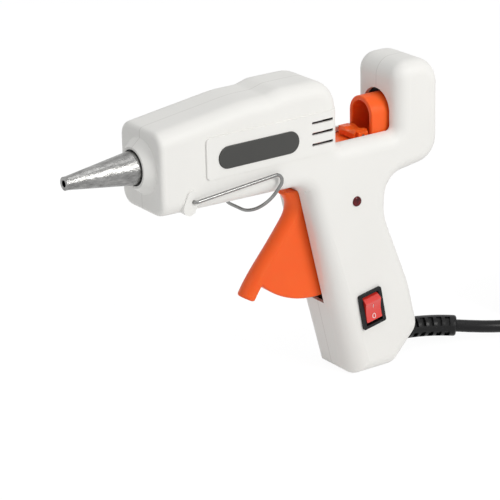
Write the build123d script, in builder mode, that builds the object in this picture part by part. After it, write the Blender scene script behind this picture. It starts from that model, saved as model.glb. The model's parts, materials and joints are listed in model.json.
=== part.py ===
"""Hot-melt glue gun for 11 mm sticks, as separate pieces in one frame.

+X points to the nozzle, +Y to the gun's left and +Z up.
The origin is the centre of the butt's flat foot. Sizes are in millimetres.
"""

import os
from math import acos, atan2, cos, pi, radians, sin, sqrt, tan

from build123d import *

os.makedirs("parts", exist_ok=True)

# Clearances
slide_gap = 0.3
fit_gap = 0.05
turn_gap = 0.05
press_gap = 0.02

# Glue stick and feed line
stick_d = 11.2
feed_z = 117.5

# Housing
body_w = 31.4
wall = 2.2
edge_round = 6.5
nose_x = 112.0
nose_over = 4.2
nose_round = 2.2
grip_round_low = 11.5
grip_round_top = 5.0
nose_low_z = 97.6
nose_top_z = 133.6
barrel_low_z = 96.0
barrel_top_z = 140.2
top_bend_x = 68.0
top_bend_reach = 4.5
step_x = 56.0
step_run = 6.5
plateau_z = 142.0
barrel_rear_x = 20.0
saddle_z = 111.0
post_front_x = -11.7
post_rear_x = -36.2
post_top_z = 142.0
post_low_z = 94.8
throat_x = -8.0
throat_z = 90.8
palm_x = -6.6
palm_z = 74.0
heel_bend_x = -20.5
heel_bend_z = 38.5
heel_x = -26.0
heel_z = 15.5
foot_rear_x = -11.5
foot_front_x = 13.5
web_corner_x = 36.2

# Side panel, badge and vents
panel_rise = 0.8
panel_front_x = 89.7
panel_low_z = 110.5
panel_top_z = 128.8
panel_corner = 2.0
badge_x = 63.2
badge_z = 118.8
badge_len = 41.4
badge_h = 9.9
badge_thick = 1.2
badge_sunk = 0.8
vent_x = 29.8
vent_len = 11.6
vent_h = 1.3
vent_pitch = 4.9
vent_count = 3
vent_mid_z = 120.1

# Nozzle, collar and melt chamber
collar_x = 116.0
collar_r = 12.3
collar_front_r = 8.9
collar_bore_r = 7.9
nozzle_tip_x = 149.0
nozzle_base_r = 7.2
nozzle_tip_r = 2.9
nozzle_bore_r = 1.5
nozzle_lip = 1.4
nozzle_shoulder_x = 117.5
nozzle_thread_r = 5.0
nozzle_thread_len = 10.0
chamber_front_x = 110.0
chamber_rear_x = 62.0
chamber_r = 8.5
chamber_bore_r = 5.9
chamber_throat_x = 92.0
stub_len = 12.0
stub_r = 7.2
heater_x0 = 71.0
heater_len = 22.0
heater_w = 9.6
heater_h = 2.2
heater_case_wall = 2.0
heater_drop = 10.5
tab_len = 3.0
tab_w = 1.8
tab_t = 0.5
tab_pitch = 4.8
film_thick = 0.4

# Feed sleeve
sleeve_rear_x = 36.0
sleeve_front_x = 60.0
sleeve_r = 9.0
sleeve_bore_r = 5.95
clip_x = 53.0
clip_w = 5.0
clip_thick = 0.8

# Ribs across the housing
rib_thick = 2.4
rib_x = (44.0, 62.2, 99.5)
lead_notch_r = 2.0
lead_y = 10.4
lead_z = 101.6

# Carriage and its channel
channel_half = 9.0
plate_half = 10.8
plate_low_z = 106.0
plate_thick = 2.3
plate_rear_x = -18.1
plate_front_x = 30.0
arch_rear_x = -17.5
arch_front_x = -3.0
arch_r = 8.2
arch_wall = 2.2
arch_lift = 0.5
post_gap = 1.3
post_arch_z = 118.9
inlet_r = 6.5
rear_hole_r = 7.0
lug_half = 6.0
lug_wall = 3.0
lug_low_z = 98.8
lug_len = 12.0
rail_thick = 1.8
rail_inner_y = 7.0
rail_rear_x = -9.0
rail_front_x = 43.0

# Grip claw
claw_pin_x = 1.14
claw_pin_r = 0.75
claw_rear_x = -2.4
claw_front_x = 4.8
claw_half = 5.4
cheek_wall = 1.7
cheek_len = 5.0
cheek_h = 3.9
claw_cut_gap = 0.25
claw_low_gap = 0.7
claw_h = 3.5
claw_pin_rise = 2.1

# Trigger
trigger_w = 9.2
trigger_x = 25.0
trigger_z = 81.0
trigger_swing = 24.0
web_r = 42.0
arm_len = 21.0
arm_w = 5.0
arm_h = 6.0
trigger_pin_r = 2.0
trigger_pin_half = 11.5
drive_pin_r = 1.5
boss_wall = 2.2
slot_half = 5.0
slot_low_z = 35.4
slot_top_z = 91.5
slot_rear_x = 14.0
slot_front_x = 42.0
web_w = 7.8
bar_thick = 5.5
bar_round = 3.4
bar_end_round = 1.2
web_rim_round = 1.1
bar_top_z = 91.2

# Return spring
spring_r = 2.5
spring_wire_r = 0.4
spring_turns = 6
spring_z = 102.4

# Wire stand
wire_r = 0.75
stand_x = 96.8
stand_z = 102.9
stand_y = 18.0
stand_bend_r = 1.5
stand_leg_x = 48.5
stand_leg_z = 107.1
stand_elbow_r = 3.0
stand_drop = 24.0
stand_lean = 42.0
stand_loop_r = 14.0
lug_face_y = 16.4
lug_pad_len = 11.0
lug_pad_w = 6.4
lug_lean = 23.0
lug_shift_x = 1.0
lug_shift_z = 0.6

# Indicator lamp
lamp_x = 11.2
lamp_z = 84.3
lamp_r = 2.3
lamp_rise = 0.7
lamp_flange_r = 3.2
lamp_flange = 1.0
lamp_body_r = 1.9
lamp_body_len = 6.5

# Rocker switch
switch_x = 3.5
switch_z = 32.1
switch_tilt = 10.5
bezel_w = 12.6
bezel_h = 17.2
bezel_rise = 1.2
bezel_round = 0.8
switch_w = 10.8
switch_h = 15.4
switch_depth = 12.0
rocker_w = 8.4
rocker_gap = 0.35
rocker_end_r = 6.9
rocker_pivot_depth = 2.5
rocker_pocket = 6.0
rocker_low = 1.5
rocker_mid = 1.7
rocker_high = 3.0
rocker_base = 1.6
rocker_axle_r = 0.9
rocker_axle_over = 0.7
terminal_w = 4.8
terminal_t = 0.8
terminal_len = 7.0
terminal_pitch = 7.4

# Housing screws
screw_r = 1.45
screw_head_r = 3.0
screw_head_h = 2.2
screw_seat_y = -6.0
screw_end_y = 10.0
screw_boss_r = 4.6
screw_places = (
    (103.5, 103.2),
    (57.0, 132.0),
    (-26.5, 132.5),
    (-23.5, 102.5),
    (-0.5, 62.0),
    (10.4, 12.4),
)

# Mains lead and its relief
cord_r = 2.9
relief_r = 4.9
relief_end_round = 1.2
relief_x = -18.7
relief_z = 9.9
relief_pitch = 4.7
relief_bend_x = -25.5
relief_bend_r = 45.0
relief_turn = 36.0
relief_inner_x = -7.5
flange_x = -10.5
flange_r = 6.0
flange_t = 2.0
relief_slots = 6
slot_w = 2.4
slot_depth = 1.5
slot_pitch = 4.3
slot_start = 2.2
slot_arc = 4.6
tail_len = 9.5
clamp_x = -2.5
clamp_len = 6.0
clamp_t = 3.4
clamp_screw_r = 1.3
clamp_post_r = 2.4
clamp_spacing = 11.2
clamp_head_r = 2.4
clamp_head_h = 1.6
clamp_bite = 6.0

# Free cord, laid by hand from the relief's end to the hank
cord_first = 21.0
cord_points = [(-89.8, 20.95, 3.7), (-110.8, 20.95, 3.7)]

# Put-away hank
hank_loops = 4
hank_run = 80.0
hank_bend_r = 17.4
hank_layer = 6.4
hank_probe = 1.5
end_bend_r = 29.0
end_run = 6.0
plug_gap = 0.2
tie_x = -150.0
tie_thick = 0.55
tie_w = 6.0
tie_gap = 0.2

# Plug on the lead's far end
plug_len = 30.0
plug_w = 35.0
plug_h = 13.6
plug_neck_w = 13.0
plug_neck_h = 10.0
plug_pin_r = 2.0
plug_pin_len = 19.0
plug_pin_pitch = 18.6
plug_taper = 22.0
plug_round = 4.0

# Inner leads
lead_r = 0.9
lead_bend_r = 1.2

# Worked out from the sizes above
half_w = body_w / 2
inner_half = half_w - wall
stick_r = stick_d / 2
plate_top_z = plate_low_z + plate_thick
arm_rest = 90 + trigger_swing / 2
drive_x = trigger_x + arm_len * cos(radians(arm_rest))
drive_z = trigger_z + arm_len * sin(radians(arm_rest))
lug_rear_x = drive_x - lug_len / 2 + 1
lug_front_x = lug_rear_x + lug_len
arch_z = feed_z + arch_lift
heater_z = feed_z - heater_drop
claw_pin_z = plate_top_z + claw_pin_rise
cheek_y = claw_half + slide_gap
relief_axis = (-cos(radians(relief_pitch)), 0, -sin(radians(relief_pitch)))
relief_rise = tan(radians(relief_pitch))
switch_across = (-cos(radians(switch_tilt)), 0, sin(radians(switch_tilt)))
switch_plane = Plane(origin=(switch_x, half_w, switch_z), x_dir=switch_across, z_dir=(0, 1, 0))
feed_plane = Plane(origin=(0, 0, feed_z), x_dir=(1, 0, 0), z_dir=(0, -1, 0))
feed_axis = Axis((0, 0, feed_z), (1, 0, 0))
clamp_z = relief_z + (clamp_x - relief_x) * relief_rise
clamp_face_y = -cord_r - fit_gap
clamp_screw_z = (clamp_z - clamp_spacing / 2, clamp_z + clamp_spacing / 2)

top_bend_slope = atan2(barrel_top_z - nose_top_z, nose_x - top_bend_x)
top_bend_r = top_bend_reach / tan(top_bend_slope / 2)

# Housing side outline: corner points, each with its radius
housing_outline = [
    ((nose_x, nose_low_z), 8),
    ((nose_x, nose_top_z), 8),
    ((top_bend_x, barrel_top_z), top_bend_r),
    ((step_x, barrel_top_z), 6),
    ((step_x - step_run, plateau_z), 10),
    ((barrel_rear_x, plateau_z), 13),
    ((barrel_rear_x, saddle_z), 2.5),
    ((post_front_x, saddle_z), 2.5),
    ((post_front_x, post_top_z), 8),
    ((post_rear_x, post_top_z), 12),
    ((post_rear_x, post_low_z), 12),
    ((throat_x, throat_z), 10),
    ((palm_x, palm_z), 24),
    ((heel_bend_x, heel_bend_z), 40),
    ((heel_x, heel_z), 8),
    ((foot_rear_x, 0), 8),
    ((foot_front_x, 0), 6),
    ((web_corner_x, barrel_low_z), 9),
]


def slab(half, inset, rounding, nose=0):
    """The housing outline, moved in by inset and longer at the nose, as a slab with round edges."""
    points = [(x + nose if x == nose_x else x, z) for (x, z), _ in housing_outline]
    radii = [radius for _, radius in housing_outline]
    with BuildPart() as form:
        with BuildSketch(Plane.XZ):
            with BuildLine():
                FilletPolyline(*points, radius=radii, close=True)
            make_face()
            if inset:
                offset(amount=-inset)
        extrude(amount=half, both=True)
        fillet(form.faces().filter_by(Axis.Y).edges(), rounding)
    return form.part


def grip_corners(inset):
    """What a rounding of the grip's front edges takes off, largest at the foot and fading upwards."""
    low = Vector(foot_front_x, 0, 0)
    along = (Vector(web_corner_x, 0, barrel_low_z) - low).normalized()
    inward = Vector(-along.Z, 0, along.X)
    with BuildPart() as form:
        for side in (-1, 1):
            for reach, full_round in ((-wall, grip_round_low), (barrel_low_z, grip_round_top)):
                rounding = full_round - inset
                corner = low + along * reach + inward * inset + Vector(0, side * (half_w - inset), 0)
                mid = rounding * (1 - sqrt(0.5))
                with BuildSketch(Plane(origin=corner, x_dir=inward, z_dir=along)):
                    with BuildLine():
                        ThreePointArc(
                            (rounding, -side * fit_gap), (mid, side * mid), (-fit_gap, side * rounding)
                        )
                        Polyline(
                            (-fit_gap, side * rounding),
                            (-wall, side * rounding),
                            (-wall, -side * wall),
                            (rounding, -side * wall),
                            (rounding, -side * fit_gap),
                        )
                    make_face()
            loft()
    return form.part


def rod_x(radius, x0, x1, y=0, z=feed_z, mode=Mode.ADD):
    """A round bar along X."""
    with Locations(((x0 + x1) / 2, y, z)):
        Cylinder(radius, abs(x1 - x0), rotation=(0, 90, 0), mode=mode)


def rod_y(radius, x, z, y0, y1, mode=Mode.ADD):
    """A round bar along Y."""
    with Locations((x, (y0 + y1) / 2, z)):
        Cylinder(radius, abs(y1 - y0), rotation=(90, 0, 0), mode=mode)


def block(x0, x1, y0, y1, z0, z1, mode=Mode.ADD):
    """A box between two corners."""
    with Locations(((x0 + x1) / 2, (y0 + y1) / 2, (z0 + z1) / 2)):
        Box(abs(x1 - x0), abs(y1 - y0), abs(z1 - z0), mode=mode)


def tube(points, radii, radius):
    """A round tube along straight runs with an arc at each inner point."""
    with BuildPart() as form:
        with BuildLine() as path:
            FilletPolyline(*points, radius=radii)
        with BuildSketch(Plane(origin=path.line @ 0, z_dir=path.line % 0)):
            Circle(radius)
        sweep(path=path.line)
    return form.part


def bend_radii(points):
    """The largest arc that fits each inner point of a route."""
    radii = []
    for before, here, after in zip(points, points[1:], points[2:]):
        run_in = here - before
        run_out = after - here
        turn = radians(run_in.get_angle(run_out))
        radii.append(0.45 * min(run_in.length, run_out.length) / tan(turn / 2))
    return radii


def save(piece, name):
    """Label a piece and write its file."""
    piece.label = name
    export_step(piece, f"parts/{name}.step")


# Housing: outside, cavity, panels and ribs used by both halves
outside = slab(half_w, 0, edge_round, nose_over)
wider = slab(half_w + panel_rise, 0, edge_round)
cavity = slab(inner_half, wall, edge_round - wall)
outside -= grip_corners(0)
cavity -= grip_corners(wall)

with BuildPart() as panels:
    add(wider)
    with BuildSketch(Plane.XZ):
        panel_mid_x = (panel_front_x + barrel_rear_x) / 2 - panel_corner
        with Locations((panel_mid_x, (panel_low_z + panel_top_z) / 2)):
            RectangleRounded(
                panel_front_x - barrel_rear_x + 2 * panel_corner, panel_top_z - panel_low_z, panel_corner
            )
    extrude(amount=body_w, both=True, mode=Mode.INTERSECT)

with BuildPart() as ribs:
    for x in rib_x:
        block(x, x + rib_thick, -half_w, half_w, barrel_low_z, plateau_z)
    for x, z in screw_places:
        rod_y(screw_boss_r, x, z, -half_w, half_w)
    for side in (-1, 1):
        rod_y(trigger_pin_r + boss_wall, trigger_x, trigger_z, side * slot_half, side * half_w)
        block(
            rail_rear_x,
            rail_front_x,
            side * rail_inner_y,
            side * half_w,
            plate_low_z - slide_gap - rail_thick,
            plate_low_z - slide_gap,
        )
        block(
            rail_rear_x,
            rail_front_x,
            side * (plate_half + slide_gap),
            side * half_w,
            plate_low_z - slide_gap,
            plate_top_z,
        )
    add(cavity, mode=Mode.INTERSECT)
    rod_x(sleeve_r + fit_gap, rib_x[0], rib_x[0] + rib_thick, mode=Mode.SUBTRACT)
    for x in rib_x[1:]:
        rod_x(chamber_r + fit_gap, x, x + rib_thick, mode=Mode.SUBTRACT)
    for x in rib_x:
        for y in (-lead_y, lead_y):
            rod_x(lead_notch_r, x, x + rib_thick, y, lead_z, Mode.SUBTRACT)

with BuildPart() as housing:
    add(outside)
    block(nose_x, nose_x + body_w, -body_w, body_w, 0, post_top_z, Mode.SUBTRACT)
    fillet(housing.faces().sort_by(Axis.X)[-1].edges(), nose_round)
    add(panels.part)
    rod_x(collar_r, nose_x - wall, nose_x)
    with Locations(((nose_x + collar_x) / 2, 0, feed_z)):
        Cone(collar_r, collar_front_r, collar_x - nose_x, rotation=(0, 90, 0))
    with BuildSketch(Plane.XZ):
        with Locations((stand_x + lug_shift_x, stand_z - lug_shift_z)):
            SlotOverall(lug_pad_len, lug_pad_w, rotation=lug_lean - 90)
    extrude(amount=lug_face_y, both=True)
    add(cavity, mode=Mode.SUBTRACT)
    add(ribs.part)
    rod_x(collar_bore_r, nose_x - 2 * wall, collar_x, mode=Mode.SUBTRACT)
    rod_x(rear_hole_r, barrel_rear_x - wall, barrel_rear_x + 2 * wall, mode=Mode.SUBTRACT)
    rod_x(inlet_r, post_rear_x - wall, post_rear_x + 2 * wall, mode=Mode.SUBTRACT)
    block(
        post_front_x,
        barrel_rear_x,
        -channel_half,
        channel_half,
        saddle_z - 2 * wall,
        saddle_z + wall,
        Mode.SUBTRACT,
    )
    with BuildSketch(Plane.YZ.offset(post_front_x - 2 * wall)):
        with Locations((0, post_arch_z)):
            Circle(arch_r + post_gap)
        with Locations((0, (plate_low_z + post_arch_z) / 2)):
            Rectangle(2 * (arch_r + post_gap), post_arch_z - plate_low_z)
    extrude(amount=3 * wall, mode=Mode.SUBTRACT)
    block(slot_rear_x, slot_front_x, -slot_half, slot_half, slot_low_z, slot_top_z, Mode.SUBTRACT)
    with BuildSketch(Plane.XZ):
        for i in range(vent_count):
            with Locations((vent_x, vent_mid_z + (i - (vent_count - 1) / 2) * vent_pitch)):
                SlotOverall(vent_len, vent_h)
    extrude(amount=body_w, both=True, mode=Mode.SUBTRACT)
    with BuildSketch(Plane(origin=(relief_x, 0, relief_z), z_dir=relief_axis)):
        Circle(relief_r + press_gap)
    extrude(amount=3 * relief_r, both=True, mode=Mode.SUBTRACT)
    for side in (-1, 1):
        rod_y(
            wire_r + turn_gap,
            stand_x,
            stand_z,
            side * (inner_half - wall),
            side * (lug_face_y + wall),
            Mode.SUBTRACT,
        )
        rod_y(
            trigger_pin_r + press_gap,
            trigger_x,
            trigger_z,
            side * (slot_half - wall),
            side * (trigger_pin_half + press_gap),
            Mode.SUBTRACT,
        )

# Left half of the housing
with BuildPart() as left_shell:
    add(housing.part)
    split(bisect_by=Plane.XZ, keep=Keep.BOTTOM)
    for z in clamp_screw_z:
        rod_y(clamp_post_r, clamp_x, z, clamp_face_y, inner_half + wall / 2)
        rod_y(clamp_screw_r + press_gap, clamp_x, z, clamp_face_y, clamp_bite, Mode.SUBTRACT)
    with BuildSketch(Plane.XZ.offset(-half_w - panel_rise)):
        with Locations((badge_x, badge_z)):
            SlotOverall(badge_len + 2 * fit_gap, badge_h + 2 * fit_gap)
    extrude(amount=badge_sunk, mode=Mode.SUBTRACT)
    rod_y(lamp_r + press_gap, lamp_x, lamp_z, inner_half - wall, half_w + wall, Mode.SUBTRACT)
    with BuildSketch(switch_plane):
        Rectangle(switch_w + 2 * press_gap, switch_h + 2 * press_gap)
    extrude(amount=2 * wall, both=True, mode=Mode.SUBTRACT)
    for x, z in screw_places:
        rod_y(screw_r + press_gap, x, z, -wall, screw_end_y, Mode.SUBTRACT)
save(left_shell.part, "left_shell")

# Right half of the housing
with BuildPart() as right_shell:
    add(housing.part)
    split(bisect_by=Plane.XZ, keep=Keep.TOP)
    for x, z in screw_places:
        rod_y(screw_r + slide_gap, x, z, screw_seat_y, wall, Mode.SUBTRACT)
        rod_y(screw_head_r + slide_gap, x, z, screw_seat_y, -half_w - wall, Mode.SUBTRACT)
save(right_shell.part, "right_shell")

# Screws that hold the halves together
with BuildPart() as shell_screws:
    for x, z in screw_places:
        rod_y(screw_head_r, x, z, screw_seat_y - screw_head_h, screw_seat_y - press_gap)
        rod_y(screw_r, x, z, screw_seat_y - screw_head_h, screw_end_y - slide_gap)
        with BuildSketch(Plane.XZ.offset(screw_head_h - screw_seat_y)):
            with Locations((x, z)):
                Rectangle(screw_head_r * 1.2, screw_head_h / 4)
                Rectangle(screw_head_h / 4, screw_head_r * 1.2)
        extrude(amount=-screw_head_h / 2, mode=Mode.SUBTRACT)
save(shell_screws.part, "shell_screws")

# Nozzle
with BuildPart() as nozzle:
    with BuildSketch(feed_plane):
        with BuildLine():
            Polyline(
                (chamber_front_x - nozzle_thread_len, nozzle_bore_r * 2),
                (chamber_front_x - nozzle_thread_len, nozzle_thread_r),
                (chamber_front_x + fit_gap, nozzle_thread_r),
                (chamber_front_x + fit_gap, nozzle_base_r),
                (nozzle_shoulder_x, nozzle_base_r),
                (nozzle_tip_x - nozzle_lip, nozzle_tip_r),
                (nozzle_tip_x, nozzle_tip_r),
                (nozzle_tip_x, nozzle_bore_r),
                (nozzle_tip_x - 4 * nozzle_lip, nozzle_bore_r),
                (nozzle_shoulder_x, nozzle_bore_r * 2),
                close=True,
            )
        make_face()
    revolve(axis=feed_axis)
save(nozzle.part, "nozzle")

# Ring between nozzle and collar
with BuildPart() as nozzle_bushing:
    rod_x(collar_bore_r - press_gap, chamber_front_x + slide_gap, collar_x - nozzle_lip / 2)
    rod_x(nozzle_base_r + press_gap, chamber_front_x, collar_x, mode=Mode.SUBTRACT)
save(nozzle_bushing.part, "nozzle_bushing")

# Melt chamber with the heater case under it
case_half_y = heater_w / 2 + film_thick + press_gap + heater_case_wall
case_half_z = heater_h / 2 + film_thick + press_gap + heater_case_wall
with BuildPart() as melt_chamber:
    rod_x(chamber_r, chamber_rear_x, chamber_front_x)
    rod_x(stub_r, chamber_rear_x - stub_len, chamber_rear_x)
    block(
        heater_x0 - heater_case_wall,
        heater_x0 + heater_len + heater_case_wall,
        -case_half_y,
        case_half_y,
        heater_z - case_half_z,
        feed_z - chamber_r + heater_case_wall,
    )
    with BuildSketch(feed_plane):
        with BuildLine():
            Polyline(
                (chamber_rear_x - stub_len, 0),
                (chamber_rear_x - stub_len, chamber_bore_r),
                (chamber_throat_x, chamber_bore_r),
                (chamber_front_x - nozzle_thread_len, nozzle_bore_r * 2),
                (chamber_front_x - nozzle_thread_len, nozzle_thread_r + press_gap),
                (chamber_front_x, nozzle_thread_r + press_gap),
                (chamber_front_x, 0),
                close=True,
            )
        make_face()
    revolve(axis=feed_axis, mode=Mode.SUBTRACT)
    block(
        heater_x0 - 2 * heater_case_wall,
        heater_x0 + heater_len + fit_gap,
        heater_case_wall - case_half_y,
        case_half_y - heater_case_wall,
        heater_z - case_half_z + heater_case_wall,
        heater_z + case_half_z - heater_case_wall,
        Mode.SUBTRACT,
    )
save(melt_chamber.part, "melt_chamber")

# Heating element with its two tabs
with BuildPart() as heater:
    block(
        heater_x0,
        heater_x0 + heater_len,
        -heater_w / 2,
        heater_w / 2,
        heater_z - heater_h / 2,
        heater_z + heater_h / 2,
    )
    for y in (-tab_pitch / 2, tab_pitch / 2):
        block(
            heater_x0 - tab_len,
            heater_x0,
            y - tab_w / 2,
            y + tab_w / 2,
            heater_z - tab_t / 2,
            heater_z + tab_t / 2,
        )
save(heater.part, "heater")

# Insulating film round the heating element
with BuildPart() as heater_insulator:
    block(
        heater_x0,
        heater_x0 + heater_len,
        -heater_w / 2 - film_thick,
        heater_w / 2 + film_thick,
        heater_z - heater_h / 2 - film_thick,
        heater_z + heater_h / 2 + film_thick,
    )
    block(
        heater_x0,
        heater_x0 + heater_len,
        -heater_w / 2 - press_gap,
        heater_w / 2 + press_gap,
        heater_z - heater_h / 2 - press_gap,
        heater_z + heater_h / 2 + press_gap,
        Mode.SUBTRACT,
    )
save(heater_insulator.part, "heater_insulator")

# Feed sleeve pushed over the chamber's stub
with BuildPart() as feed_sleeve:
    rod_x(sleeve_r, sleeve_rear_x, sleeve_front_x)
    rod_x(sleeve_bore_r, sleeve_rear_x, sleeve_front_x, mode=Mode.SUBTRACT)
    rod_x(
        stub_r + press_gap,
        chamber_rear_x - stub_len - fit_gap,
        sleeve_front_x,
        mode=Mode.SUBTRACT,
    )
    mouth = feed_sleeve.faces().sort_by(Axis.X)[0].inner_wires()[0].edges()
    chamfer(mouth, wall / 2)
save(feed_sleeve.part, "feed_sleeve")

# Clip round the sleeve
with BuildPart() as sleeve_clip:
    rod_x(sleeve_r + press_gap + clip_thick, clip_x, clip_x + clip_w)
    rod_x(sleeve_r + press_gap, clip_x, clip_x + clip_w, mode=Mode.SUBTRACT)
save(sleeve_clip.part, "sleeve_clip")

# Carriage that pushes the stick
with BuildPart() as stick_carriage:
    with BuildSketch(Plane.YZ.offset(arch_rear_x)):
        with Locations((0, arch_z)):
            Circle(arch_r)
        with Locations((0, (plate_top_z + arch_z) / 2)):
            Rectangle(2 * arch_r, arch_z - plate_top_z)
        with Locations((0, arch_z)):
            Circle(arch_r - arch_wall, mode=Mode.SUBTRACT)
        with Locations((0, (plate_top_z + arch_z) / 2)):
            Rectangle(2 * (arch_r - arch_wall), arch_z - plate_top_z, mode=Mode.SUBTRACT)
    extrude(amount=arch_front_x - arch_rear_x)
    rims = stick_carriage.edges().filter_by(GeomType.CIRCLE)
    fillet(rims, arch_wall / 4)
    block(plate_rear_x, plate_front_x, -plate_half, plate_half, plate_low_z, plate_top_z)
    for side in (-1, 1):
        block(
            claw_pin_x - cheek_len / 2,
            claw_pin_x + cheek_len / 2,
            side * cheek_y,
            side * (cheek_y + cheek_wall),
            plate_top_z,
            plate_top_z + cheek_h,
        )
        block(
            lug_rear_x,
            lug_front_x,
            side * (lug_half - lug_wall),
            side * lug_half,
            lug_low_z,
            plate_low_z,
        )
    block(lug_front_x - lug_wall / 2, lug_front_x, -lug_half, lug_half, lug_low_z, plate_low_z)
    block(
        drive_x - drive_pin_r - slide_gap,
        drive_x + drive_pin_r + slide_gap,
        -lug_half,
        lug_half,
        lug_low_z,
        trigger_z + arm_len + drive_pin_r + slide_gap,
        Mode.SUBTRACT,
    )
    rod_y(claw_pin_r + press_gap, claw_pin_x, claw_pin_z, -plate_half, plate_half, Mode.SUBTRACT)
save(stick_carriage.part, "stick_carriage")

# Claw that bites the stick
with BuildPart() as grip_claw:
    claw_low_z = plate_top_z + claw_low_gap
    block(claw_rear_x, claw_front_x, -claw_half, claw_half, claw_low_z, claw_low_z + claw_h)
    front_top = grip_claw.edges().filter_by(Axis.Y).group_by(Axis.Z)[-1].sort_by(Axis.X)[-1]
    chamfer(front_top, claw_h / 3)
    rod_x(stick_r + claw_cut_gap, claw_rear_x - wall, claw_front_x + wall, mode=Mode.SUBTRACT)
    rod_y(claw_pin_r + turn_gap, claw_pin_x, claw_pin_z, -plate_half, plate_half, Mode.SUBTRACT)
save(grip_claw.part, "grip_claw")

# Pin of the claw
with BuildPart() as claw_pin:
    rod_y(claw_pin_r, claw_pin_x, claw_pin_z, -cheek_y - cheek_wall, cheek_y + cheek_wall)
save(claw_pin.part, "claw_pin")


def polar(radius, angle):
    """A point of the trigger's side view, seen from its pivot."""
    return (trigger_x + radius * cos(radians(angle)), trigger_z + radius * sin(radians(angle)))


# Trigger: a round-fronted finger bar along the blade's line, on a narrower web
with BuildPart() as trigger:
    with BuildLine():
        blade = Spline(
            (64.3, 0, 47.6), (56.6, 0, 58.6), (49.6, 0, 66.8),
            (42.6, 0, 75.4), (38.4, 0, 82.4), (41.4, 0, 90.0),
        )
    with BuildSketch(Plane(origin=blade @ 0, x_dir=(0, 1, 0), z_dir=blade % 0)):
        with BuildLine():
            ThreePointArc((-trigger_w / 2, bar_round), (0, 0), (trigger_w / 2, bar_round))
            Polyline(
                (trigger_w / 2, bar_round),
                (trigger_w / 2, bar_thick),
                (-trigger_w / 2, bar_thick),
                (-trigger_w / 2, bar_round),
            )
        make_face()
    sweep(path=blade)
    with BuildSketch(Plane.XZ):
        with BuildLine():
            edge = Spline((56.6, 52.8), (48.6, 63.6), (41.6, 71.9), (35.4, 81.4), (37.8, 90.4))
            ThreePointArc(edge @ 1, (33.2, 90.2), (29.0, 88.2))
            Polyline((29.0, 88.2), (25.0, 87.2), (19.0, 83.0), polar(web_r, -97))
            ThreePointArc(polar(web_r, -97), polar(web_r, -71), polar(web_r, -45.5))
            Line(polar(web_r, -45.5), edge @ 0)
        make_face()
    extrude(amount=web_w / 2, both=True)
    rounds = trigger.edges().filter_by(GeomType.CIRCLE)
    rims = rounds.filter_by(lambda rim: abs(rim.radius - web_r) < fit_gap)
    fillet(rims, web_rim_round)
    bar_side = (blade % 0).cross(Vector(0, 1, 0))
    bar_end = trigger.faces().sort_by_distance(blade @ 0 + bar_side * bar_thick / 2)[0]
    fillet(bar_end.edges(), bar_end_round)
    block(trigger_x, nose_x, -trigger_w, trigger_w, bar_top_z, nose_top_z, Mode.SUBTRACT)
    with BuildSketch(Plane.XZ):
        with Locations(((trigger_x + drive_x) / 2, (trigger_z + drive_z) / 2)):
            SlotCenterToCenter(arm_len, arm_h, rotation=arm_rest)
    extrude(amount=arm_w / 2, both=True)
    rod_y(trigger_pin_r + turn_gap, trigger_x, trigger_z, -half_w, half_w, Mode.SUBTRACT)
    rod_y(drive_pin_r + press_gap, drive_x, drive_z, -half_w, half_w, Mode.SUBTRACT)
save(trigger.part, "trigger")

# Pins of the trigger
with BuildPart() as trigger_pin:
    rod_y(trigger_pin_r, trigger_x, trigger_z, -trigger_pin_half, trigger_pin_half)
save(trigger_pin.part, "trigger_pin")

with BuildPart() as drive_pin:
    rod_y(drive_pin_r, drive_x, drive_z, -lug_half, lug_half)
save(drive_pin.part, "drive_pin")

# Return spring between carriage and rib, as tilted half turns
spring_x0 = lug_front_x + spring_wire_r + press_gap
spring_x1 = rib_x[0] - spring_wire_r - press_gap
with BuildPart() as return_spring:
    with BuildLine() as spring_path:
        step = (spring_x1 - spring_x0) / (2 * spring_turns)
        bulge = sqrt(spring_r**2 + (step / 2) ** 2)
        for i in range(2 * spring_turns):
            side = 1 if i % 2 == 0 else -1
            ThreePointArc(
                (spring_x0 + i * step, 0, spring_z + side * spring_r),
                (spring_x0 + (i + 0.5) * step, side * bulge, spring_z),
                (spring_x0 + (i + 1) * step, 0, spring_z - side * spring_r),
            )
    with BuildSketch(Plane(origin=spring_path.line @ 0, z_dir=spring_path.line % 0)):
        Circle(spring_wire_r)
    sweep(path=spring_path.line)
save(return_spring.part, "return_spring")

# Folding wire stand
lean = radians(stand_lean)
loop_x = stand_leg_x + stand_drop * sin(lean)
loop_z = stand_leg_z - stand_drop * cos(lean)
half_stand = [
    (stand_x, inner_half - fit_gap, stand_z),
    (stand_x, stand_y, stand_z),
    (stand_leg_x, stand_y, stand_leg_z),
    (loop_x, stand_y, loop_z),
]
stand_points = half_stand + [(x, -y, z) for x, y, z in reversed(half_stand)]
stand_radii = [stand_bend_r, stand_elbow_r, stand_loop_r]
wire_stand = tube(stand_points, stand_radii + stand_radii[::-1], wire_r)
save(wire_stand, "wire_stand")

# Bare badge
with BuildPart() as badge_plate:
    with BuildSketch(Plane.XZ.offset(badge_sunk - half_w - panel_rise - press_gap)):
        with Locations((badge_x, badge_z)):
            SlotOverall(badge_len, badge_h)
    extrude(amount=-badge_thick)
    fillet(badge_plate.faces().sort_by(Axis.Y)[-1].edges(), badge_thick / 4)
save(badge_plate.part, "badge_plate")

# Indicator lens and lamp
with BuildPart() as indicator_lens:
    rod_y(lamp_r, lamp_x, lamp_z, inner_half - lamp_flange, half_w + lamp_rise)
    fillet(indicator_lens.faces().sort_by(Axis.Y)[-1].edges(), lamp_rise * 0.9)
    rod_y(lamp_flange_r, lamp_x, lamp_z, inner_half - lamp_flange, inner_half - press_gap)
save(indicator_lens.part, "indicator_lens")

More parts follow.
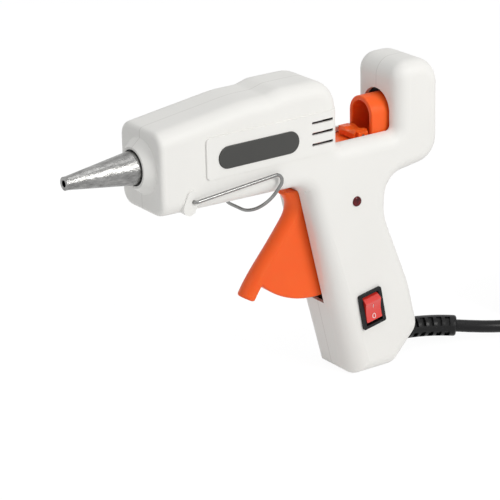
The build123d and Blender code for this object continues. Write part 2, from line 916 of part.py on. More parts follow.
with BuildPart() as indicator_lamp:
    lamp_back_y = inner_half - lamp_flange - press_gap
    rod_y(lamp_body_r, lamp_x, lamp_z, lamp_back_y - lamp_body_len, lamp_back_y)
save(indicator_lamp.part, "indicator_lamp")

# Rocker switch
rocker_plane = Plane(
    origin=switch_plane.origin, x_dir=switch_plane.y_dir, z_dir=switch_plane.x_dir
)
with BuildPart() as switch_body:
    with BuildSketch(switch_plane.offset(press_gap)):
        RectangleRounded(bezel_w, bezel_h, bezel_round)
    extrude(amount=bezel_rise)
    with BuildSketch(switch_plane.offset(press_gap)):
        Rectangle(switch_w, switch_h)
    extrude(amount=-switch_depth)
    with BuildSketch(switch_plane.offset(bezel_rise + press_gap)):
        Rectangle(rocker_w + 2 * rocker_gap, 2 * (rocker_end_r + rocker_gap))
    extrude(amount=-bezel_rise - rocker_pocket, mode=Mode.SUBTRACT)
    with BuildSketch(rocker_plane):
        with Locations((0, -rocker_pivot_depth)):
            Circle(rocker_axle_r + turn_gap)
    extrude(amount=rocker_w / 2 + rocker_axle_over + turn_gap, both=True, mode=Mode.SUBTRACT)
save(switch_body.part, "switch_body")


def rocker_end(out):
    """How far along the rocker its round end reaches at that height."""
    return sqrt(rocker_end_r**2 - (out + rocker_pivot_depth) ** 2)


with BuildPart() as switch_rocker:
    with BuildSketch(rocker_plane):
        with BuildLine():
            low_end = (-rocker_end(rocker_low), rocker_low)
            high_end = (rocker_end(rocker_high), rocker_high)
            low_foot = (-rocker_end(-rocker_base), -rocker_base)
            high_foot = (rocker_end(-rocker_base), -rocker_base)
            low_mid = (rocker_low - rocker_base) / 2
            high_mid = (rocker_high - rocker_base) / 2
            ThreePointArc(low_end, (0, rocker_mid), high_end)
            ThreePointArc(high_end, (rocker_end(high_mid), high_mid), high_foot)
            Polyline(high_foot, (0, -2 * rocker_pivot_depth + rocker_base), low_foot)
            ThreePointArc(low_foot, (-rocker_end(low_mid), low_mid), low_end)
        make_face()
    extrude(amount=rocker_w / 2, both=True)
    with BuildSketch(rocker_plane):
        with Locations((0, -rocker_pivot_depth)):
            Circle(rocker_axle_r)
    extrude(amount=rocker_w / 2 + rocker_axle_over, both=True)
save(switch_rocker.part, "switch_rocker")

with BuildPart() as switch_terminals:
    with BuildSketch(switch_plane.offset(-switch_depth)):
        for y in (-terminal_pitch / 2, terminal_pitch / 2):
            with Locations((0, y)):
                Rectangle(terminal_w, terminal_t)
    extrude(amount=-terminal_len)
save(switch_terminals.part, "switch_terminals")


# Strain relief, bending sideways
def relief_at(angle):
    """A point of the relief's bent axis."""
    along = relief_bend_r * sin(radians(angle))
    aside = relief_bend_r * (1 - cos(radians(angle)))
    return Vector(on_axis(relief_bend_x)) + Vector(relief_axis) * along + Vector(0, aside, 0)


def on_axis(x):
    """A point of the lead's straight axis at the handle."""
    return (x, 0, relief_z + (x - relief_x) * relief_rise)


inward = (-relief_axis[0], 0, -relief_axis[2])
with BuildPart() as strain_relief:
    with BuildLine() as relief_path:
        Line(on_axis(relief_inner_x), relief_at(0))
        relief_arc = ThreePointArc(relief_at(0), relief_at(relief_turn / 2), relief_at(relief_turn))
    with BuildSketch(Plane(origin=on_axis(relief_inner_x), z_dir=relief_axis)):
        Circle(relief_r)
    sweep(path=relief_path.line)
    fillet(strain_relief.faces().sort_by(Axis.X)[0].edges(), relief_end_round)
    for i in range(relief_slots):
        with Locations(relief_arc.location_at((slot_start + i * slot_pitch) / relief_arc.length)):
            with PolarLocations(relief_r, 4, start_angle=45):
                Box(2 * slot_depth, slot_arc, slot_w, mode=Mode.SUBTRACT)
    with BuildSketch(Plane(origin=on_axis(flange_x), z_dir=inward)):
        Circle(flange_r)
    extrude(amount=flange_t)
save(strain_relief.part, "strain_relief")

# Lead's end inside the handle, with its clamp
with BuildPart() as cord_tail:
    with BuildSketch(Plane(origin=on_axis(relief_inner_x + press_gap), z_dir=inward)):
        Circle(cord_r)
    extrude(amount=tail_len)
save(cord_tail.part, "cord_tail")

bar_y = clamp_face_y - press_gap
with BuildPart() as cord_clamp:
    block(
        clamp_x - clamp_len / 2,
        clamp_x + clamp_len / 2,
        bar_y - clamp_t,
        bar_y,
        clamp_screw_z[0] - clamp_len / 2,
        clamp_screw_z[1] + clamp_len / 2,
    )
    for z in clamp_screw_z:
        rod_y(clamp_screw_r + press_gap, clamp_x, z, bar_y - clamp_t, bar_y, Mode.SUBTRACT)
save(cord_clamp.part, "cord_clamp")

with BuildPart() as clamp_screws:
    for z in clamp_screw_z:
        head_y = bar_y - clamp_t - press_gap
        rod_y(clamp_head_r, clamp_x, z, head_y - clamp_head_h, head_y)
        rod_y(clamp_screw_r, clamp_x, z, head_y, clamp_bite - slide_gap)
save(clamp_screws.part, "clamp_screws")

# Inner leads: cord to switch, switch to heater, cord to heater
tail_face = on_axis(relief_inner_x + press_gap + tail_len * cos(radians(relief_pitch)))
lead_x0 = tail_face[0] + lead_r * relief_rise + fit_gap
terminal_y = half_w - switch_depth - terminal_len - fit_gap
terminal_x = terminal_pitch / 2 * sin(radians(switch_tilt))
terminal_z = terminal_pitch / 2 * cos(radians(switch_tilt))
tab_x = heater_x0 - tab_len - fit_gap
turn_x = tab_x - 2 * lead_r
core_y = cord_r * 0.45


def heater_end(side):
    """The last points of a lead that runs along the barrel to a heater tab."""
    return [
        (turn_x, side * lead_y, lead_z),
        (turn_x, side * tab_pitch / 2, heater_z),
        (tab_x, side * tab_pitch / 2, heater_z),
    ]


def lead(points, name):
    """A thin wire with the same arc at every bend."""
    save(tube(points, [lead_bend_r] * (len(points) - 2), lead_r), name)


lead(
    [
        (lead_x0, -core_y, tail_face[2]),
        (lead_x0 + 2.3, -core_y, tail_face[2]),
        (3.2, -7.5, 24.4),
        (switch_x - terminal_x, -7.5, switch_z - terminal_z),
        (switch_x - terminal_x, terminal_y, switch_z - terminal_z),
    ],
    "live_lead",
)
lead(
    [
        (switch_x + terminal_x, terminal_y, switch_z + terminal_z),
        (switch_x + terminal_x, -8.2, switch_z + terminal_z),
        (9.0, -9.6, 50.0),
        (10.0, -lead_y, 94.0),
        (16.0, -lead_y, lead_z),
    ]
    + heater_end(-1),
    "switched_lead",
)
lead(
    [
        (lead_x0, core_y, tail_face[2]),
        (lead_x0 + 2.3, core_y, tail_face[2]),
        (2.5, 2.0, 20.4),
        (-9.0, 3.0, 25.0),
        (-10.0, 8.0, 42.0),
        (7.5, lead_y, 54.0),
        (5.5, lead_y, 72.0),
        (5.5, lead_y, 92.0),
        (14.0, lead_y, lead_z),
    ]
    + heater_end(1),
    "neutral_lead",
)

# Free cord from the relief to the hank
relief_end = relief_at(relief_turn)
relief_out = relief_arc % 1
cord_start = relief_end + relief_out * press_gap
cord_route = [cord_start, relief_end + relief_out * cord_first] + [Vector(p) for p in cord_points]
cord_bends = bend_radii(cord_route)
print("cord route", [tuple(round(v, 2) for v in point) for point in cord_route])
print("cord bend radii", [round(radius, 1) for radius in cord_bends])
cord_run = tube(cord_route, cord_bends, cord_r)
save(cord_run, "cord_run")

# Hanked cord: one unbroken tube of stacked loops, ending in a double bend up to the plug
hank_x, hank_y, hank_z = cord_points[-1]
mid_y = hank_y - hank_bend_r
far_y = hank_y - 2 * hank_bend_r
rear_x = hank_x - hank_run
end_z = hank_z + hank_loops * hank_layer
plug_z = end_z - hank_layer + cord_r + plug_gap + plug_h / 2
end_shift = sqrt(hank_bend_r**2 + (plug_z - end_z) ** 2)
end_angle = acos(1 - end_shift / (2 * end_bend_r))
end_reach = 2 * end_bend_r * sin(end_angle)


def end_at(along, aside):
    """A point of the cord's last bend, by its way back and its share of the sideways shift."""
    share = aside / end_shift
    return (hank_x - along, hank_y - share * hank_bend_r, end_z + share * (plug_z - end_z))


with BuildPart() as cord_hank:
    with BuildLine() as hank_path:
        climb_reach = sqrt(hank_bend_r**2 + (hank_layer / 2) ** 2)
        for i in range(hank_loops):
            z = hank_z + i * hank_layer
            Line((hank_x, hank_y, z), (rear_x, hank_y, z))
            ThreePointArc((rear_x, hank_y, z), (rear_x - hank_bend_r, mid_y, z), (rear_x, far_y, z))
            Line((rear_x, far_y, z), (hank_x, far_y, z))
            ThreePointArc(
                (hank_x, far_y, z),
                (hank_x + climb_reach, mid_y, z + hank_layer / 2),
                (hank_x, hank_y, z + hank_layer),
            )
        half_along = end_bend_r * sin(end_angle / 2)
        half_aside = end_bend_r * (1 - cos(end_angle / 2))
        ThreePointArc(
            end_at(0, 0), end_at(half_along, half_aside), end_at(end_reach / 2, end_shift / 2)
        )
        ThreePointArc(
            end_at(end_reach / 2, end_shift / 2),
            end_at(end_reach - half_along, end_shift - half_aside),
            end_at(end_reach, end_shift),
        )
        Line(end_at(end_reach, end_shift), end_at(end_reach + end_run, end_shift))
    with BuildSketch(Plane(origin=cord_points[-1], z_dir=(-1, 0, 0))):
        Circle(cord_r)
    sweep(path=hank_path.line)
save(cord_hank.part, "cord_hank")
plug_x, plug_y, _ = end_at(end_reach + end_run, end_shift)

hank_wire = hank_path.wires()[0]
hank_count = int(hank_wire.length / hank_probe)
hank_spots = [hank_wire @ (i / hank_count) for i in range(hank_count + 1)]
near = min(
    (hank_spots[i] - hank_spots[j]).length
    for i in range(hank_count + 1)
    for j in range(i + 20, hank_count + 1)
)
hank_share = cord_hank.part.volume / (pi * cord_r**2 * hank_wire.length)
print("hank length", round(hank_wire.length, 1), "least gap to itself", round(near - 2 * cord_r, 3))
print("hank volume over section times length", round(hank_share, 4))

# Tie round one side of the hank
tie_half_y = cord_r + tie_gap
tie_low_z = hank_z - cord_r - tie_gap
tie_top_z = end_z - hank_layer + cord_r + tie_gap
with BuildPart() as hank_tie:
    with BuildSketch(Plane.YZ.offset(tie_x)):
        with Locations((hank_y, (tie_low_z + tie_top_z) / 2)):
            RectangleRounded(
                2 * (tie_half_y + tie_thick), tie_top_z - tie_low_z + 2 * tie_thick, cord_r / 2 + tie_thick
            )
            RectangleRounded(2 * tie_half_y, tie_top_z - tie_low_z, cord_r / 2, mode=Mode.SUBTRACT)
    extrude(amount=tie_w / 2, both=True)
save(hank_tie.part, "hank_tie")

# Plug
with BuildPart() as plug_body:
    for inset, width, height, corner in (
        (press_gap, plug_neck_w, plug_neck_h, plug_round),
        (plug_taper, plug_w, plug_h, plug_round),
    ):
        with BuildSketch(
            Plane(origin=(plug_x - inset, plug_y, plug_z), x_dir=(0, 1, 0), z_dir=(-1, 0, 0))
        ):
            RectangleRounded(width, height, corner)
    loft()
    with BuildSketch(
        Plane(origin=(plug_x - plug_taper, plug_y, plug_z), x_dir=(0, 1, 0), z_dir=(-1, 0, 0))
    ):
        RectangleRounded(plug_w, plug_h, plug_round)
    extrude(amount=plug_len - plug_taper)
save(plug_body.part, "plug_body")

with BuildPart() as plug_pins:
    for y in (plug_y - plug_pin_pitch / 2, plug_y + plug_pin_pitch / 2):
        rod_x(
            plug_pin_r,
            plug_x - plug_len - press_gap - plug_pin_len,
            plug_x - plug_len - press_gap,
            y,
            plug_z,
        )
    ends = plug_pins.faces().sort_by(Axis.X)[:2].edges()
    fillet(ends, plug_pin_r / 2)
save(plug_pins.part, "plug_pins")
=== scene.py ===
import json
import math

import bmesh
import bpy
from mathutils import Matrix, Vector


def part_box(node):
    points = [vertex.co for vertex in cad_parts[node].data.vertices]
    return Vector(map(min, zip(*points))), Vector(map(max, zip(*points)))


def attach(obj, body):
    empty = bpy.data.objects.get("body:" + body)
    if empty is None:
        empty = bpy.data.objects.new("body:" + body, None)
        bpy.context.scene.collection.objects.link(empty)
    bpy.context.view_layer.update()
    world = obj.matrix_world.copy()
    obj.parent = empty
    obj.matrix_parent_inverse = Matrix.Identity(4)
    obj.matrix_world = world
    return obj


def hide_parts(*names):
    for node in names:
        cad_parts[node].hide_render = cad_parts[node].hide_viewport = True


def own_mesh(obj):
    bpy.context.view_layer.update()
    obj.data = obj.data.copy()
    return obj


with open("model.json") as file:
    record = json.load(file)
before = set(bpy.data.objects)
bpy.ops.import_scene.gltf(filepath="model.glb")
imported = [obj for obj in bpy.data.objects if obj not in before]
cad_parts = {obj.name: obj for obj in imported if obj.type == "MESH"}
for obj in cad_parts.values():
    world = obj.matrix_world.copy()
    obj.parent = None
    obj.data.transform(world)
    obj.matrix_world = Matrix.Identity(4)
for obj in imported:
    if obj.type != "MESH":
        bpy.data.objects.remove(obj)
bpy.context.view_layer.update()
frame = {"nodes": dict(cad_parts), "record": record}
nodes = frame["nodes"]
scene = bpy.context.scene
scene.view_settings.view_transform = "Standard"
MM = 0.001


def mm(*point):
    """A point given in millimetres, in metres."""
    return Vector(point) * MM


# Camera at the photograph's viewing angle
CAMERA_TARGET = mm(59.148, 1.904, 68.541)
CAMERA_RIGHT = Vector((-0.82041231, 0.57137734, -0.02125059))
CAMERA_UP = Vector((-0.21652431, -0.27606887, 0.9364311))
CAMERA_BACK = Vector((0.52918888, 0.77286087, 0.35020738))
CAMERA_DISTANCE = 1.0
LENS, SENSOR = 165.6, 36.0
CLIP_NEAR, CLIP_FAR = 0.05, 20.0

camera_data = bpy.data.cameras.new("photo_camera")
camera_data.lens = LENS
camera_data.sensor_width = SENSOR
camera_data.clip_start = CLIP_NEAR
camera_data.clip_end = CLIP_FAR
camera = bpy.data.objects.new("photo_camera", camera_data)
scene.collection.objects.link(camera)
camera_axes = Matrix((CAMERA_RIGHT, CAMERA_UP, CAMERA_BACK)).transposed()
camera_place = CAMERA_TARGET + CAMERA_BACK * CAMERA_DISTANCE
camera.matrix_world = Matrix.Translation(camera_place) @ camera_axes.to_4x4()
scene.camera = camera

# Materials. A mix node's colour sockets have these places among its inputs and outputs
MIX_FACTOR, MIX_A, MIX_B, MIX_RESULT = 0, 6, 7, 2
# Most values of a noise lie between these
NOISE_LOW, NOISE_HIGH = 0.3, 0.7
GRAIN_DETAIL = 2.0
LENS_GRAIN = 700.0
SMUDGE_SCALE, SMUDGE_DETAIL, SMUDGE_LOW = 120.0, 4.0, 0.75
LINE_DETAIL, LINE_ROUGHNESS, LINE_STRENGTH, LINE_LOW = 6.0, 0.7, 0.5, 0.35


def material(name):
    """A new node material with its tree and its shader."""
    mat = bpy.data.materials.new(name)
    mat.use_nodes = True
    tree = mat.node_tree
    return mat, tree, tree.nodes["Principled BSDF"]


def set_sockets(mat, values):
    """Values that are the same all over the surface, on the shader's own sockets."""
    shader = mat.node_tree.nodes["Principled BSDF"]
    for socket, value in values.items():
        shader.inputs[socket].default_value = value


def object_coords(tree, scale=(1, 1, 1)):
    """Row-frame coordinates, multiplied by scale."""
    coords = tree.nodes.new("ShaderNodeTexCoord")
    mapping = tree.nodes.new("ShaderNodeMapping")
    mapping.inputs["Scale"].default_value = scale
    tree.links.new(coords.outputs["Object"], mapping.inputs["Vector"])
    return mapping.outputs["Vector"]


def noise(tree, vector, scale, detail=3.0, rough=0.55):
    node = tree.nodes.new("ShaderNodeTexNoise")
    node.inputs["Scale"].default_value = scale
    node.inputs["Detail"].default_value = detail
    node.inputs["Roughness"].default_value = rough
    tree.links.new(vector, node.inputs["Vector"])
    return node.outputs["Fac"]


def spread(tree, value, low, high, from_low=NOISE_LOW, from_high=NOISE_HIGH):
    """A value mapped to another range and held inside it."""
    node = tree.nodes.new("ShaderNodeMapRange")
    node.inputs["From Min"].default_value = from_low
    node.inputs["From Max"].default_value = from_high
    node.inputs["To Min"].default_value = low
    node.inputs["To Max"].default_value = high
    tree.links.new(value, node.inputs["Value"])
    return node.outputs["Result"]


def math_node(tree, operation, first, second=None):
    node = tree.nodes.new("ShaderNodeMath")
    node.operation = operation
    tree.links.new(first, node.inputs[0])
    if second is not None:
        tree.links.new(second, node.inputs[1])
    return node.outputs["Value"]


def blend_colors(tree, factor, dark, light):
    node = tree.nodes.new("ShaderNodeMix")
    node.data_type = "RGBA"
    node.inputs[MIX_A].default_value = (*dark, 1)
    node.inputs[MIX_B].default_value = (*light, 1)
    tree.links.new(factor, node.inputs[MIX_FACTOR])
    return node.outputs[MIX_RESULT]


def paint_over(tree, base, factor, color):
    """The base with a colour over it where factor is 1."""
    node = tree.nodes.new("ShaderNodeMix")
    node.data_type = "RGBA"
    tree.links.new(factor, node.inputs[MIX_FACTOR])
    tree.links.new(base, node.inputs[MIX_A])
    node.inputs[MIX_B].default_value = (*color, 1)
    return node.outputs[MIX_RESULT]


def bump(tree, shader, height, distance, strength):
    node = tree.nodes.new("ShaderNodeBump")
    node.inputs["Distance"].default_value = distance
    node.inputs["Strength"].default_value = strength
    tree.links.new(height, node.inputs["Height"])
    tree.links.new(node.outputs["Normal"], shader.inputs["Normal"])


def tint(color, factor):
    return tuple(min(1.0, channel * factor) for channel in color)


def moulded(name, color, rough, grain, depth, strength, vary, drift_scale=28.0, gloss_scale=160.0):
    """Moulded plastic or rubber: fine grain, slow colour drift and uneven gloss."""
    mat, tree, shader = material(name)
    vector = object_coords(tree)
    drift = spread(tree, noise(tree, vector, drift_scale), 0.0, 1.0)
    color_out = blend_colors(tree, drift, tint(color, 1 - vary), tint(color, 1 + vary))
    tree.links.new(color_out, shader.inputs["Base Color"])
    gloss = spread(tree, noise(tree, vector, gloss_scale), *rough)
    tree.links.new(gloss, shader.inputs["Roughness"])
    bump(tree, shader, noise(tree, vector, grain, GRAIN_DETAIL), depth, strength)
    return mat


def turned_metal(name, color, rough, stretch, scale, depth, dark):
    """Metal with fine lines and soft smudges, which shade its colour and gloss."""
    mat, tree, shader = material(name)
    shader.inputs["Metallic"].default_value = 1.0
    lines = noise(tree, object_coords(tree, stretch), scale, LINE_DETAIL, LINE_ROUGHNESS)
    smudge = noise(tree, object_coords(tree), SMUDGE_SCALE, SMUDGE_DETAIL)
    line_light, smudge_light = spread(tree, lines, LINE_LOW, 1.0), spread(tree, smudge, SMUDGE_LOW, 1.0)
    bright = math_node(tree, "MULTIPLY", line_light, smudge_light)
    tree.links.new(blend_colors(tree, bright, tint(color, dark), color), shader.inputs["Base Color"])
    smooth, dull = rough
    tree.links.new(spread(tree, lines, dull, smooth), shader.inputs["Roughness"])
    bump(tree, shader, lines, depth, LINE_STRENGTH)
    return mat


def lens_material():
    """Dark red unlit lens under a clear gloss."""
    mat, tree, shader = material("lens_red")
    inner = spread(tree, noise(tree, object_coords(tree), LENS_GRAIN), 0.0, 1.0)
    color_out = blend_colors(tree, inner, (0.04, 0.001, 0.003), (0.15, 0.004, 0.008))
    tree.links.new(color_out, shader.inputs["Base Color"])
    set_sockets(
        mat,
        {
            "Roughness": 0.08,
            "Specular IOR Level": 0.2,
            "Coat Weight": 0.1,
            "Coat Roughness": 0.04,
        },
    )
    return mat


# Housing, in mm: the hairline's inner and outer half width, and the boxes inside which shade is painted
# dark on the inside that shows through the vents and past the arch into the post, each as its half
# width and its ranges along X and Z
SEAM_COLOR = (0.66, 0.645, 0.62)
SEAM_CORE, SEAM_EDGE = 0.06, 0.22
# Painted shade: this dark colour stands in for the shade inside the white housing, not a colour of its
# own
PAINTED_SHADE_COLOR = (0.018, 0.004, 0.006)
VENT_SHADE_BOX = (15.2, (23.2, 36.4), (113.5, 126.7))
POST_SHADE_BOX = (13.55, (-33.0, -14.7), (108.0, 127.5))
SIDE_FADE, EDGE_FADE = 0.3, 0.1


def shade_box_mask(tree, split, side, half_w, x_range, z_range):
    """1 inside a box that reaches half_w to either side of the parting plane; there shade is painted
    on.
    """
    mask = spread(tree, side, 1.0, 0.0, half_w * MM, (half_w + SIDE_FADE) * MM)
    for axis, (low, high) in (("X", x_range), ("Z", z_range)):
        for edge, before, after in ((low, 0.0, 1.0), (high, 1.0, 0.0)):
            fade = ((edge - EDGE_FADE) * MM, (edge + EDGE_FADE) * MM)
            limit = spread(tree, split.outputs[axis], before, after, *fade)
            mask = math_node(tree, "MULTIPLY", mask, limit)
    return mask


def housing_material():
    """White moulding with a hairline along the parting plane, and painted shade: its inside is coloured
    dark where it shows through its openings.
    """
    mat = moulded(
        "housing_white",
        (0.845, 0.84, 0.815),
        (0.46, 0.56),
        1500.0,
        0.00004,
        0.18,
        0.015,
        drift_scale=24.0,
        gloss_scale=140.0,
    )
    set_sockets(mat, {"Specular IOR Level": 0.28})
    tree = mat.node_tree
    base_color = tree.nodes["Principled BSDF"].inputs["Base Color"]
    white = base_color.links[0].from_socket
    split = tree.nodes.new("ShaderNodeSeparateXYZ")
    tree.links.new(object_coords(tree), split.inputs["Vector"])
    side = math_node(tree, "ABSOLUTE", split.outputs["Y"])
    seam = spread(tree, side, 1.0, 0.0, SEAM_CORE * MM, SEAM_EDGE * MM)
    with_seam = paint_over(tree, white, seam, SEAM_COLOR)
    # Painted shade: the inside seen through the vents and past the arch into the post is coloured dark
    vent_shade_mask = shade_box_mask(tree, split, side, *VENT_SHADE_BOX)
    post_shade_mask = shade_box_mask(tree, split, side, *POST_SHADE_BOX)
    painted_shade_mask = math_node(tree, "MAXIMUM", vent_shade_mask, post_shade_mask)
    tree.links.new(paint_over(tree, with_seam, painted_shade_mask, PAINTED_SHADE_COLOR), base_color)
    return mat


# Colour, roughness range, then the grain's scale, depth and strength, and the colour's drift
MOULDED = {
    "orange": ((0.98, 0.128, 0.016), (0.30, 0.40), 900.0, 0.00002, 0.08, 0.03),
    "red_plastic": ((0.74, 0.036, 0.026), (0.16, 0.24), 700.0, 0.00002, 0.08, 0.06),
    "black_plastic": ((0.008, 0.008, 0.009), (0.30, 0.42), 1100.0, 0.00003, 0.2, 0.15),
    "black_rubber": ((0.006, 0.006, 0.0065), (0.28, 0.40), 800.0, 0.00004, 0.25, 0.18),
    "badge_grey": ((0.042, 0.042, 0.039), (0.30, 0.40), 1300.0, 0.00003, 0.2, 0.10),
    "tie_black": ((0.022, 0.022, 0.023), (0.34, 0.5), 900.0, 0.00003, 0.2, 0.12),
    "lamp_clear": ((0.60, 0.48, 0.42), (0.12, 0.2), 500.0, 0.00002, 0.1, 0.05),
    "heater_ceramic": ((0.74, 0.70, 0.62), (0.6, 0.8), 900.0, 0.00005, 0.4, 0.06),
    "film_amber": ((0.50, 0.20, 0.02), (0.18, 0.3), 300.0, 0.00003, 0.2, 0.1),
    "silicone": ((0.62, 0.60, 0.54), (0.55, 0.7), 700.0, 0.00004, 0.2, 0.05),
    "lead_brown": ((0.16, 0.065, 0.025), (0.35, 0.5), 900.0, 0.00003, 0.2, 0.1),
    "lead_blue": ((0.03, 0.10, 0.36), (0.35, 0.5), 900.0, 0.00003, 0.2, 0.1),
    "mark_white": ((0.86, 0.82, 0.80), (0.35, 0.5), 900.0, 0.00002, 0.1, 0.05),
}
# Colour, roughness range, then the lines' stretch, scale and depth, and the shade of the darkest
METALS = {
    "nozzle_metal": ((0.42, 0.418, 0.41), (0.15, 0.32), (0.3, 1, 1), 680.0, 0.00034, 0.1),
    "steel": ((0.62, 0.62, 0.61), (0.24, 0.38), (1, 9, 1), 260.0, 0.00001, 0.62),
    "stand_steel": ((0.30, 0.30, 0.295), (0.12, 0.22), (1, 1, 1), 400.0, 0.000006, 0.62),
    "brass": ((0.74, 0.60, 0.32), (0.2, 0.34), (10, 1, 1), 240.0, 0.00001, 0.62),
}
# Further values of single finishes
EXTRA_SOCKETS = {
    "orange": {
        "Specular IOR Level": 0.28,
        "Subsurface Weight": 0.35,
        "Subsurface Radius": (1.0, 0.22, 0.08),
        "Subsurface Scale": 0.004,
    },
    "red_plastic": {"Coat Weight": 0.3},
    "black_plastic": {"Specular IOR Level": 0.24},
    "black_rubber": {"Specular IOR Level": 0.24},
}

finishes = {"housing_white": housing_material(), "lens_red": lens_material()}
for name, values in MOULDED.items():
    finishes[name] = moulded(name, *values)
for name, values in METALS.items():
    finishes[name] = turned_metal(name, *values)
for name, values in EXTRA_SOCKETS.items():
    set_sockets(finishes[name], values)
for entry in frame["record"]["subparts"]:
    node_mesh = nodes[entry["node"]].data
    node_mesh.materials.clear()
    node_mesh.materials.append(finishes[entry["material_slot"]])

# Cord, in mm: one smooth line from the strain relief, through the turns of the tied hank, to the plug
CORD_R = 2.9
CORD_START = ((-51.88, 8.61, 7.17), (-68.79, 20.94, 5.78), (-89.8, 20.95, 3.7))
HANK_FRONT_X, HANK_REAR_X = -110.8, -190.8
HANK_Y, HANK_Z = 20.95, 3.7
HANK_LOOPS, HANK_BEND_R, HANK_LAYER = 4, 17.4, 6.4
BEND_POINTS = 8
LEAVE_X, TURN_X, PLUG_X, PLUG_Z = -123.13, -140.24, -158.54, 32.8
CURVE_STEPS, ROUND_STEPS = 6, 6


def cord_route():
    """Control points of the cord; a bend's stand outside it, so that the line keeps its radius."""
    half_step = math.pi / (2 * BEND_POINTS)
    reach = HANK_BEND_R / math.cos(half_step)
    lead_in = HANK_BEND_R * math.tan(half_step)
    mid_y, far_y = HANK_Y - HANK_BEND_R, HANK_Y - 2 * HANK_BEND_R
    bend = []
    for k in range(BEND_POINTS):
        angle = (2 * k + 1) * half_step
        climb = HANK_LAYER * (1 - math.cos(angle)) / 2
        bend.append((reach * math.sin(angle), reach * math.cos(angle), climb))
    points = list(CORD_START)
    z = HANK_Z
    for _ in range(HANK_LOOPS):
        points.append((HANK_REAR_X + lead_in, HANK_Y, z))
        points += [(HANK_REAR_X - out, mid_y + across, z) for out, across, _ in bend]
        points += [(HANK_REAR_X + lead_in, far_y, z), (HANK_FRONT_X - lead_in, far_y, z)]
        points += [(HANK_FRONT_X + out, mid_y - across, z + climb) for out, across, climb in bend]
        z += HANK_LAYER
        points.append((HANK_FRONT_X - lead_in, HANK_Y, z))
    points += [(LEAVE_X, HANK_Y, z), (TURN_X, mid_y, PLUG_Z), (PLUG_X, mid_y, PLUG_Z)]
    return points


route = cord_route()
curve = bpy.data.curves.new("cord", "CURVE")
curve.dimensions = "3D"
spline = curve.splines.new("NURBS")
spline.points.add(len(route) - 1)
for point, target in zip(spline.points, route):
    point.co = (*mm(*target), 1.0)
spline.order_u = 3
spline.use_endpoint_u = True
spline.resolution_u = CURVE_STEPS
curve.bevel_depth = CORD_R * MM
curve.bevel_resolution = ROUND_STEPS
curve.use_fill_caps = True
curve.materials.append(finishes["black_rubber"])
cord = bpy.data.objects.new("cord", curve)
scene.collection.objects.link(cord)
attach(cord, "housing")
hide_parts("cord_run", "cord_hank")


def tube(name, rings, closed):
    """A mesh over rings of points, closed into a loop or capped at its ends."""
    shape = bmesh.new()
    loops = [[shape.verts.new(point) for point in ring] for ring in rings]
    following = loops[1:] + loops[:1] if closed else loops[1:]
    for here, there in zip(loops, following):
        for k in range(len(here)):
            after = (k + 1) % len(here)
            shape.faces.new((here[k], here[after], there[after], there[k]))
    if not closed:
        shape.faces.new(loops[0])
        shape.faces.new(loops[-1])
    bmesh.ops.recalc_face_normals(shape, faces=shape.faces)
    mesh = bpy.data.meshes.new(name)
    shape.to_mesh(mesh)
    shape.free()
    return mesh


# Off and on marks, in mm: thin raised lines that follow the rocker's hollow face. FACE_POINTS gives
# the face's height at three places along the rocker
ROCKER_ORIGIN = mm(3.5, 15.7, 32.1)
ROCKER_UP = Vector((0.18224, 0, 0.98325))
ROCKER_ACROSS = Vector((-0.98325, 0, 0.18224))
FACE_POINTS = ((-5.62, 1.5), (0.0, 1.7), (4.17, 3.0))
MARK_SINK, MARK_RISE = 0.05, 0.035
MARK_POINTS = 40
# Place along the rocker, half sizes across and along it, and width of the line
MARKS = {"off_mark": (-3.55, 0.80, 1.15, 0.28), "on_mark": (1.7, 0.04, 0.85, 0.22)}


def circle_through(points):
    """Centre and radius of the circle through three points."""
    (x1, y1), (x2, y2), (x3, y3) = points
    s1, s2, s3 = x1 * x1 + y1 * y1, x2 * x2 + y2 * y2, x3 * x3 + y3 * y3
    turn = 2 * (x1 * (y2 - y3) + x2 * (y3 - y1) + x3 * (y1 - y2))
    centre_x = (s1 * (y2 - y3) + s2 * (y3 - y1) + s3 * (y1 - y2)) / turn
    centre_y = (s1 * (x3 - x2) + s2 * (x1 - x3) + s3 * (x2 - x1)) / turn
    return centre_x, centre_y, math.hypot(x1 - centre_x, y1 - centre_y)


face_along, face_centre, face_r = circle_through(FACE_POINTS)


def mark_section(point, offset):
    """Four corners of a mark's line at an (across, along) point of the rocker's face."""
    corners = []
    for side, rise in ((-1, -MARK_SINK), (-1, MARK_RISE), (1, MARK_RISE), (1, -MARK_SINK)):
        across, along = point + side * offset
        height = face_centre - math.sqrt(face_r**2 - (along - face_along) ** 2) + rise
        on_face = ROCKER_ACROSS * across + ROCKER_UP * along
        corners.append(ROCKER_ORIGIN + on_face * MM + mm(0, height, 0))
    return corners


def add_mark(name, at, across_r, along_r, line_w):
    """An elliptic line on the rocker's face, its width square to its course."""
    angles = [2 * math.pi * k / MARK_POINTS for k in range(MARK_POINTS)]
    course = [Vector((across_r * math.cos(turn), at + along_r * math.sin(turn))) for turn in angles]
    sections = []
    for k, point in enumerate(course):
        tangent = (course[(k + 1) % MARK_POINTS] - course[k - 1]).normalized()
        sections.append(mark_section(point, Vector((tangent.y, -tangent.x)) * line_w / 2))
    mesh = tube(name, sections, True)
    mesh.materials.append(finishes["mark_white"])
    piece = bpy.data.objects.new(name, mesh)
    scene.collection.objects.link(piece)
    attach(piece, "rocker")


for name, values in MARKS.items():
    add_mark(name, *values)

# Return spring: an evenly wound wire coil in the place of the part's own mesh, which is hidden
SPRING_R, SPRING_WIRE_R = 2.5 * MM, 0.4 * MM
SPRING_TURNS, TURN_STEPS, WIRE_SIDES = 6, 28, 10
spring_low, spring_high = (Vector(corner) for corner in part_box("return_spring"))
spring_mid = (spring_low + spring_high) / 2
spring_len = spring_high.x - spring_low.x


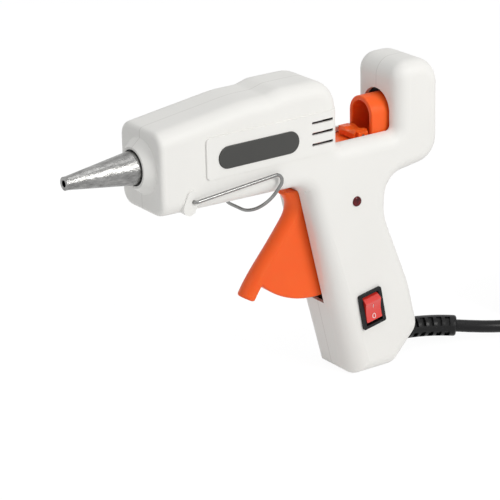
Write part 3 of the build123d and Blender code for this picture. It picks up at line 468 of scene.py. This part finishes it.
def coil_rings():
    """Rings of points round the spring's wire, square to its helix."""
    pitch = (spring_len - 2 * SPRING_WIRE_R) / SPRING_TURNS
    rings = []
    for i in range(SPRING_TURNS * TURN_STEPS + 1):
        angle = 2 * math.pi * i / TURN_STEPS
        outward = Vector((0, math.cos(angle), math.sin(angle)))
        rise = pitch / (2 * math.pi)
        along = Vector((rise, -SPRING_R * outward.z, SPRING_R * outward.y)).normalized()
        sideways = along.cross(outward)
        x = spring_low.x + SPRING_WIRE_R + pitch * i / TURN_STEPS
        centre = Vector((x, spring_mid.y, spring_mid.z)) + outward * SPRING_R
        turns = [2 * math.pi * k / WIRE_SIDES for k in range(WIRE_SIDES)]
        rings.append(
            [
                centre + (outward * math.cos(turn) + sideways * math.sin(turn)) * SPRING_WIRE_R
                for turn in turns
            ]
        )
    return rings


coil_mesh = tube("spring_coils", coil_rings(), False)
coil_mesh.polygons.foreach_set("use_smooth", [True] * len(coil_mesh.polygons))
coil_mesh.materials.append(finishes["steel"])
spring_coils = bpy.data.objects.new("spring_coils", coil_mesh)
scene.collection.objects.link(spring_coils)
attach(spring_coils, "housing")
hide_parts("return_spring")
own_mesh(spring_coils)

# Floor, world and lamps. Floor and world look white to the camera and in reflections; the floor's
# share below 1 leaves the shadow on it
FLOOR_HALF, FLOOR_Z = 6.0, -0.0002
FLOOR_GREY = (0.93, 0.93, 0.93, 1)
FLOOR_GLOW, FLOOR_GLOW_SHARE = 1.08, 0.86
WHITE = (1.0, 1.0, 1.0, 1)
WORLD_LIGHT, WORLD_SEEN = 0.39, 1.0
LAMP_TARGET = (0.05, 0.0, 0.08)


def seen_rays(tree):
    """1 for camera, glossy and transmission rays, 0 for the others."""
    path = tree.nodes.new("ShaderNodeLightPath")
    seen = math_node(tree, "MAXIMUM", path.outputs["Is Camera Ray"], path.outputs["Is Glossy Ray"])
    return math_node(tree, "MAXIMUM", seen, path.outputs["Is Transmission Ray"])


def floor_material():
    mat, tree, shader = material("floor")
    set_sockets(mat, {"Base Color": FLOOR_GREY, "Roughness": 0.9, "Specular IOR Level": 0.0})
    glow = tree.nodes.new("ShaderNodeEmission")
    glow.inputs["Strength"].default_value = FLOOR_GLOW
    mix = tree.nodes.new("ShaderNodeMixShader")
    share = spread(tree, seen_rays(tree), 0.0, FLOOR_GLOW_SHARE, 0.0, 1.0)
    tree.links.new(share, mix.inputs["Fac"])
    tree.links.new(shader.outputs["BSDF"], mix.inputs[1])
    tree.links.new(glow.outputs["Emission"], mix.inputs[2])
    tree.links.new(mix.outputs["Shader"], tree.nodes["Material Output"].inputs["Surface"])
    return mat


def lamp(name, position, size, power, color=(1, 1, 1)):
    data = bpy.data.lights.new(name, "AREA")
    data.shape = "DISK"
    data.size = size
    data.energy = power
    data.color = color
    light = bpy.data.objects.new(name, data)
    scene.collection.objects.link(light)
    light.location = position
    aim = Vector(LAMP_TARGET) - Vector(position)
    light.rotation_euler = aim.to_track_quat("-Z", "Y").to_euler()


floor_corners = [(-1, -1), (1, -1), (1, 1), (-1, 1)]
floor_mesh = bpy.data.meshes.new("floor")
floor_mesh.from_pydata(
    [(x * FLOOR_HALF, y * FLOOR_HALF, FLOOR_Z) for x, y in floor_corners],
    [],
    [(0, 1, 2, 3)],
)
floor_mesh.materials.append(floor_material())
floor = bpy.data.objects.new("floor", floor_mesh)
scene.collection.objects.link(floor)

world = bpy.data.worlds.new("studio")
scene.world = world
world.use_nodes = True
sky = world.node_tree
sky_back = sky.nodes["Background"]
sky_back.inputs["Color"].default_value = WHITE
sky_strength = spread(sky, seen_rays(sky), WORLD_LIGHT, WORLD_SEEN, 0.0, 1.0)
sky.links.new(sky_strength, sky_back.inputs["Strength"])

lamp("key", (-0.35, 1.15, 0.75), 0.6, 9.2, (1.0, 0.99, 0.97))
lamp("top", (0.15, 0.1, 1.4), 0.8, 3.4)
lamp("front", (1.2, 0.15, 0.6), 0.8, 1.1)
